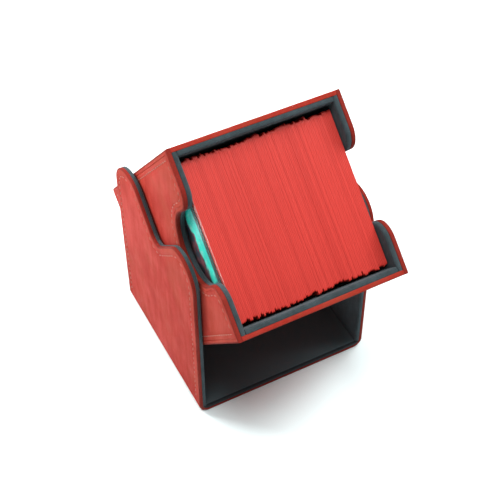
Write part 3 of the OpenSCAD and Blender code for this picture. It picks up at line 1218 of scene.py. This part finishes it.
@dataclass
class Tray:
    """The lidless tray: five panels, each with a suede skin and a microfibre lining."""

    finishes: Finishes
    width: float = 76.4 * MM
    depth: float = 78.4 * MM
    height: float = 107.0 * MM
    wall: float = 4.2 * MM
    seam: float = 2.0 * MM
    bottom: float = 4.6 * MM
    edge_radius: float = 1.5 * MM
    outer_rounding: float = 0.5 * MM
    seam_rounding: float = 0.4 * MM
    lining_rounding: float = 1.0 * MM
    bottom_rounding: float = 0.25 * MM
    # The end panels' edges take no painted rim shade: they count as lying this far in, in millimetres
    least_inset: float = 0.28
    sewing: Stitching = field(default_factory=Stitching)

    @property
    def place(self) -> Matrix:
        """Where the tray's own upright frame leans, from the joint that it rocks on."""
        joint = next(j for j in frame["joints"] if j["name"] == "tray_tilt")
        r = self.edge_radius
        lean = Matrix.Rotation(LEAN, 4, "X")
        return Matrix.Translation(Vector(joint["pos_m"])) @ lean @ Matrix.Translation((0, -r, -r))

    def on_rim(self, middle: Vector) -> bool:
        """Whether a place is at the tray's rim or in a finger notch, and not on its other edges."""
        clear = 0.1 * MM
        return clear < middle.y < self.depth - clear and middle.z > self.height / 2

    def at_top(self, middle: Vector) -> bool:
        """Whether a place is level with the tray's rim."""
        return middle.z > self.height - 0.05 * MM

    def begin(self, panel: str, layer: Layer) -> tuple[Work, str]:
        """Copies one layer of a panel.

        Args:
            panel: The panel's name, as the CAD nodes spell it.
            layer: The layer.

        Returns:
            The layer on the bench, and the CAD node that it replaces.
        """
        node = f"tray_{panel}_{layer.word}"
        return Work.copy_of(f"tray_{panel}_{layer.cloth}", [node], self.place), node

    def side_skin(self, side: Side) -> None:
        """Makes a side panel's skin: a recessed turned edge round a raised face with a pressed line.

        Args:
            side: The panel.
        """
        work, node = self.begin(side.word, Layer.SKIN)

        def outer(middle: Vector, normal: Vector) -> bool:
            """The panel's outer face."""
            return normal.x * side.value > FLAT and abs(middle.x) > self.width / 2 - LEVEL

        def along_seam(middle: Vector) -> bool:
            """The seam's edge, but not where the end panels meet it."""
            return self.on_rim(middle) and self.seam < middle.y < self.depth - self.seam

        work.round_edges(outer, self.seam_rounding, 2, False, along_seam)
        work.round_edges(outer, self.outer_rounding, 3, True, everywhere)
        turned, groove, line = 1.3, ((0.15, -0.25), (0.15, 0.25)), ((0.35, -0.12), (0.35, 0.12))
        near = self.edge_radius - (self.edge_radius - turned * MM) / math.sqrt(2)
        x = side.value * self.width / 2
        corners = [Vector((x, near, near)), Vector((x, self.depth - near, near))]
        work.steps_in(outer, ((turned, 0), *groove, (1.6, 0), *line, (2.0, 0)), corners)
        work.finish(self.finishes, Body.TRAY, Layer.SKIN, node)

    def side_lining(self, side: Side) -> None:
        """Makes a side panel's lining with a soft rim.

        Args:
            side: The panel.
        """
        work, node = self.begin(side.word, Layer.LINING)
        inner = self.width / 2 - self.wall

        def facing(middle: Vector, normal: Vector) -> bool:
            """The panel's inner face."""
            return normal.x * side.value < -FLAT and abs(middle.x) < inner + LEVEL

        work.round_edges(facing, self.seam_rounding, 2, False, self.on_rim)
        work.round_edges(facing, self.lining_rounding, 4, True, self.on_rim)
        work.steps_in(facing, ((0.5, 0),))
        work.finish(self.finishes, Body.TRAY, Layer.LINING, node)

    def end_panel(self, end: str, layer: Layer) -> None:
        """Makes one layer of the front or back panel, with a soft rim.

        Args:
            end: "front" or "back".
            layer: The layer.
        """
        work, node = self.begin(end, layer)
        skin = layer is Layer.SKIN
        outward = -1 if end == "front" else 1
        looks = outward if skin else -outward
        from_front = 0.0 if skin else self.wall
        level = from_front if end == "front" else self.depth - from_front

        def sheet(middle: Vector, normal: Vector) -> bool:
            """The layer's open face."""
            return normal.y * looks > FLAT and abs(middle.y - level) < LEVEL

        near = self.outer_rounding if skin else self.lining_rounding
        work.round_edges(sheet, self.seam_rounding, 2, False, self.at_top)
        work.round_edges(sheet, near, 4, True, self.at_top)
        work.steps_in(sheet, ((1.2, 0), (3.0, 0)) if skin else ((0.5, 0),))
        work.note_inset(self.least_inset)
        work.finish(self.finishes, Body.TRAY, layer, node)

    def bottom_panel(self, layer: Layer) -> None:
        """Makes one layer of the bottom.

        Args:
            layer: The layer.
        """
        work, node = self.begin("bottom", layer)
        skin = layer is Layer.SKIN
        level = 0.0 if skin else self.bottom
        looks = -1 if skin else 1

        def sheet(middle: Vector, normal: Vector) -> bool:
            """The layer's open face."""
            return normal.z * looks > FLAT and abs(middle.z - level) < LEVEL

        work.round_edges(sheet, self.bottom_rounding, 2, True, everywhere)
        if skin:
            work.steps_in(sheet, ((1.2, 0), (3.0, 0)))
        work.finish(self.finishes, Body.TRAY, layer, node)

    def build(self) -> None:
        """Builds and dresses the whole tray."""
        for side in Side:
            self.side_skin(side)
            self.side_lining(side)
            self.sewing.sew(Body.TRAY, side, self.finishes)
        for layer in Layer:
            self.bottom_panel(layer)
            for end in ("front", "back"):
                self.end_panel(end, layer)
        dress(boards(Body.TRAY), self.finishes.greyboard)


# ---- The deck ----


@dataclass
class Deck:
    """A hundred sleeved cards: each sleeve is a flat pocket whose mouth is pinched shut."""

    finishes: Finishes
    tray: Tray
    thickness: float = 0.62 * MM
    width: float = 66.4 * MM
    height: float = 96.5 * MM
    leaf: float = 0.11 * MM
    side_seam: float = 1.4 * MM
    taper: float = 1.2 * MM
    side_share: float = 0.8
    mouth: float = 0.02 * MM
    # How far below its mouth the pocket has opened to its full room
    neck: float = 2 * MM
    corner: float = 0.6 * MM
    lip_rounding: float = 0.05 * MM
    unevenness: float = 0.12 * MM

    def level_edges(self, bm: bmesh.types.BMesh) -> Edges:
        """The edges that lie at a sleeve's top."""
        return [e for e in bm.edges if min(v.co.z for v in e.verts) > self.height - TOUCH]

    @staticmethod
    def run(edge: bmesh.types.BMEdge) -> float:
        """How far an edge runs across a sleeve's width."""
        return abs(edge.verts[0].co.y - edge.verts[1].co.y)

    def from_side(self, vert: bmesh.types.BMVert) -> float:
        """How far in from the nearer side of a sleeve a point lies."""
        return min(vert.co.y, self.width - vert.co.y)

    def pocket(self) -> bpy.types.Object:
        """Models one sleeve, standing with its lower left front corner at the origin.

        Returns:
            The sleeve.
        """
        size = Vector((self.thickness, self.width, self.height))
        bpy.ops.object.select_all(action="DESELECT")
        bpy.ops.mesh.primitive_cube_add(size=1, location=size / 2, scale=size)
        sleeve = bpy.context.object
        bpy.ops.object.transform_apply(location=True, rotation=True, scale=True)
        work = Work(sleeve)
        work.open()
        work.pick_edges(lambda bm: [e for e in self.level_edges(bm) if self.run(e) < TOUCH])
        bpy.ops.mesh.bevel(offset=self.corner, segments=3, affect="EDGES")
        for y in (self.taper, self.width - self.taper):
            bpy.ops.mesh.select_all(action="SELECT")
            bpy.ops.mesh.bisect(plane_co=(0, y, 0), plane_no=(0, 1, 0))
        work.pick_faces(lambda m, n: n.z > 0.99)
        bpy.ops.mesh.inset(thickness=self.leaf, use_even_offset=True)
        middle = (self.thickness / 2, self.width / 2, self.height)
        seams = (self.width - 2 * self.side_seam) / (self.width - 2 * self.corner - 2 * self.leaf)
        bpy.ops.transform.resize(value=(1, seams, 1), center_override=middle)
        for drop in (-self.neck, self.neck + self.side_seam - self.height):
            bpy.ops.mesh.extrude_region_move(TRANSFORM_OT_translate={"value": (0, 0, drop)})
        inner = self.thickness - 2 * self.leaf

        def mouth_edges(bm: bmesh.types.BMesh) -> Edges:
            """The pocket's edges at its mouth."""
            lo, hi = self.leaf - TOUCH, self.thickness - self.leaf + TOUCH
            return [e for e in self.level_edges(bm) if all(lo < v.co.x < hi for v in e.verts)]

        def lips(bm: bmesh.types.BMesh) -> Edges:
            """The long outer edges of the mouth."""
            long = [e for e in self.level_edges(bm) if self.run(e) > 0.5 * MM]
            return [e for e in long if not TOUCH <= e.verts[0].co.x <= self.thickness - TOUCH]

        work.pick_edges(mouth_edges)
        bpy.ops.transform.resize(value=(self.mouth / inner, 1, 1), center_override=middle)
        work.pick_edges(lips)
        bpy.ops.mesh.bevel(offset=self.lip_rounding, segments=2, affect="EDGES")
        self.thin_sides(work)
        bpy.ops.object.mode_set(mode="OBJECT")
        return sleeve

    def thin_sides(self, work: Work) -> None:
        """Thins a sleeve towards its two side seams, so neighbours part at their edges.

        Args:
            work: The sleeve on the bench.
        """
        bpy.ops.mesh.select_mode(type="VERT")
        bm = bmesh.from_edit_mesh(work.obj.data)
        reaches = {round(self.from_side(v), 7) for v in bm.verts}
        for reach in sorted(r for r in reaches if r < self.taper - TOUCH):
            for vert in bm.verts:
                vert.select_set(abs(self.from_side(vert) - reach) < TOUCH)
            bm.select_flush_mode()
            bmesh.update_edit_mesh(work.obj.data)
            thin = self.side_share + (1 - self.side_share) * reach / self.taper
            bpy.ops.transform.resize(value=(thin, 1, 1), center_override=(self.thickness / 2, 0, 0))

    def sleeves(self) -> None:
        """Copies the sleeve to every place in the deck and joins the copies."""
        rng = random.Random(11)
        pattern = self.pocket()
        upright = self.tray.place.inverted()
        places = []
        for corners in islands("card_sleeves"):
            local = np.array([upright @ Vector(c) for c in corners])
            places.append(Vector(local.min(axis=0)))
        places.sort(key=lambda p: p.x)
        stack = []
        for place in places:
            copy = bpy.data.objects.new("deck_sleeves", pattern.data.copy())
            low = rng.uniform(0.0, self.unevenness)
            shrink = Matrix.Diagonal((1.0, 1.0, 1.0 - low / self.height, 1.0))
            copy.data.transform(self.tray.place @ Matrix.Translation(place) @ shrink)
            tone = copy.data.attributes.new("tone", "FLOAT", "FACE")
            tone.data.foreach_set("value", [rng.random()] * len(copy.data.polygons))
            for material in (self.finishes.sleeve, self.finishes.clear):
                copy.data.materials.append(material)
            bpy.context.collection.objects.link(copy)
            stack.append(copy)
        clear_side = places[0].x + self.leaf * 1.2
        for face in stack[0].data.polygons:
            face.material_index = int(face.center.x < clear_side)
        deck = joined(stack)
        bpy.ops.object.shade_smooth_by_angle(angle=SHARP)
        bpy.data.objects.remove(pattern)
        stand_for(deck, Body.DECK, "sleeve", "card_sleeves")

    def build(self) -> None:
        """Builds the sleeves and dresses the cards."""
        self.sleeves()
        dress(["cards"], self.finishes.card)


# ---- The studio ----


@dataclass
class Lamp:
    """A soft square lamp."""

    name: str
    place: Vector
    size: float
    power: float

    def light(self, target: Vector) -> None:
        """Hangs the lamp, turned to a target.

        Args:
            target: Where it points.
        """
        data = bpy.data.lights.new(self.name, "AREA")
        data.size = self.size
        data.energy = self.power
        lamp = bpy.data.objects.new(self.name, data)
        bpy.context.scene.collection.objects.link(lamp)
        lamp.location = self.place
        lamp.visible_camera = False
        lamp.rotation_euler = (target - self.place).to_track_quat("-Z", "Y").to_euler()


@dataclass
class Studio:
    """A pale floor, soft light from above and the right, and the camera."""

    finishes: Finishes
    floor_size: float = 6.0
    # Where the camera stands, and its pitch, roll and heading in degrees
    eye: tuple[float, float, float] = (-0.15775, -0.31177, 0.43250)
    turn: tuple[float, float, float] = (42.334, 0.198, -27.586)
    lens: float = 83.35
    sensor: float = 36.0
    aim: tuple[float, float, float] = (0.0, 0.0, 0.05)
    world: float = 0.26

    def floor(self) -> None:
        """Lays the floor under the cover."""
        bpy.ops.object.select_all(action="DESELECT")
        bpy.ops.mesh.primitive_plane_add(size=self.floor_size)
        plane = bpy.context.object
        plane.name = "floor"
        plane.data.materials.append(self.finishes.floor)

    def lights(self) -> None:
        """Hangs the lamps and sets the soft surrounding light."""
        lamps = (
            Lamp("top", Vector((-0.08, -0.20, 1.20)), 0.5, 12.0),
            Lamp("right", Vector((0.72, 0.00, 1.00)), 0.7, 11.5),
            Lamp("back_left", Vector((-0.20, 0.18, 0.25)), 0.12, 1.10),
            Lamp("front", Vector((-0.35, -0.80, 0.90)), 0.8, 0.4),
        )
        for lamp in lamps:
            lamp.light(Vector(self.aim))
        world = bpy.data.worlds.new("studio")
        world.use_nodes = True
        background = world.node_tree.nodes["Background"]
        background.inputs["Color"].default_value = (1.0, 1.0, 1.0, 1.0)
        background.inputs["Strength"].default_value = self.world
        bpy.context.scene.world = world

    def camera(self) -> None:
        """Sets the camera up."""
        data = bpy.data.cameras.new("camera")
        data.sensor_width = self.sensor
        data.lens = self.lens
        data.clip_start, data.clip_end = 0.01, 20.0
        camera = bpy.data.objects.new("camera", data)
        bpy.context.scene.collection.objects.link(camera)
        turn = Euler([math.radians(angle) for angle in self.turn])
        camera.matrix_world = Matrix.LocRotScale(Vector(self.eye), turn, None)
        bpy.context.scene.camera = camera

    def build(self) -> None:
        """Builds the studio."""
        self.floor()
        self.lights()
        self.camera()
        bpy.context.scene.view_settings.view_transform = "Standard"


def main() -> None:
    """Builds the box, its deck and the studio."""
    logging.basicConfig(level=logging.INFO, format="%(name)s: %(message)s")
    finishes = Finishes()
    tray = Tray(finishes)
    Cover(finishes).build()
    tray.build()
    Deck(finishes, tray).build()
    Studio(finishes).build()


if __name__ == "__main__":
    main()
